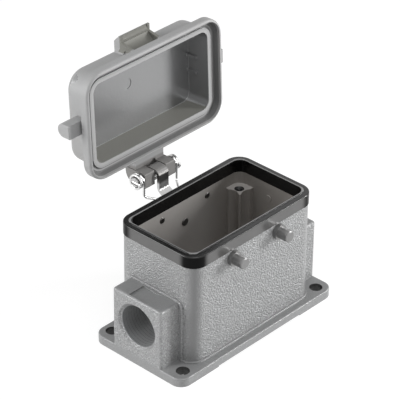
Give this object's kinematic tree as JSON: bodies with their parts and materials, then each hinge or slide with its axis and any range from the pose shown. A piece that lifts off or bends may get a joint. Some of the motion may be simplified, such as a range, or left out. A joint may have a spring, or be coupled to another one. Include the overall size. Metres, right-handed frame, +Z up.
{
  "type": "rectangular connector base housing with hinged cover",
  "caption": "Surface-mounting rectangular connector housing, die cast, with side cable entries, a rim seal and a spring-hinged metal cover standing open.",
  "frame": {"origin": "centre of the fixing-hole pattern on the mounting plane under the flange", "axes": "+X along the long side, +Y towards the hinge side, +Z up out of the mounting plane"},
  "size_m": [0.094, 0.0781, 0.1185],
  "materials": {
    "housing_casting": "die casting with a light grey powder coat of fine hammered texture",
    "cover_casting": "die casting with a smooth light grey powder coat",
    "seal": "glossy black elastomer",
    "stainless": "plain stainless sheet and rod",
    "spring_wire": "bright drawn spring wire",
    "pin_steel": "matt grey plated steel"
  },
  "bodies": {
    "base": {"base_housing": "housing_casting", "rim_gasket": "seal", "hinge_bracket": "stainless", "bracket_rivet": "stainless", "torsion_spring": "spring_wire", "locking_pin_front_left": "pin_steel", "locking_pin_front_right": "pin_steel", "locking_pin_rear_left": "pin_steel", "locking_pin_rear_right": "pin_steel"},
    "lid": {"cover": "cover_casting", "hinge_axle": "stainless"}
  },
  "joints": [
    {"name": "cover_hinge", "type": "hinge", "parent": "base", "child": "lid", "pos_m": [0, 0.03502, 0.05628], "axis": [1, 0, 0], "range_deg": [0, 92.67], "deforming": ["torsion_spring"]}
  ]
}
